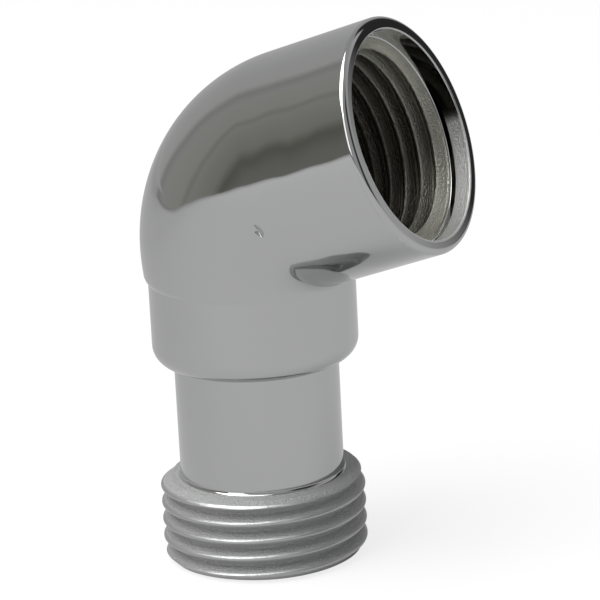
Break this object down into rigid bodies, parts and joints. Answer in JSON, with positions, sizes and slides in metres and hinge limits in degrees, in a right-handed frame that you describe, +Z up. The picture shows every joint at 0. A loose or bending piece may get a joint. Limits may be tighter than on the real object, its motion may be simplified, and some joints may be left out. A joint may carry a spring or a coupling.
{
  "type": "wall outlet elbow",
  "caption": "Chromed pipe elbow: a wide tapped inlet socket swells out of an obtuse bend above a plain neck, a slim waist and a threaded hose outlet.",
  "frame": {"origin": "centre of the hose outlet's end face, where the hose washer seats", "axes": "+Z up the outlet leg's axis, +X to the side that the inlet socket leans to; the part is symmetrical about the XZ plane"},
  "size_m": [0.0334, 0.024, 0.0562],
  "materials": {
    "chrome": "polished chrome plate on cast brass"
  },
  "bodies": {
    "root": {"elbow_body": "chrome"}
  },
  "joints": []
}
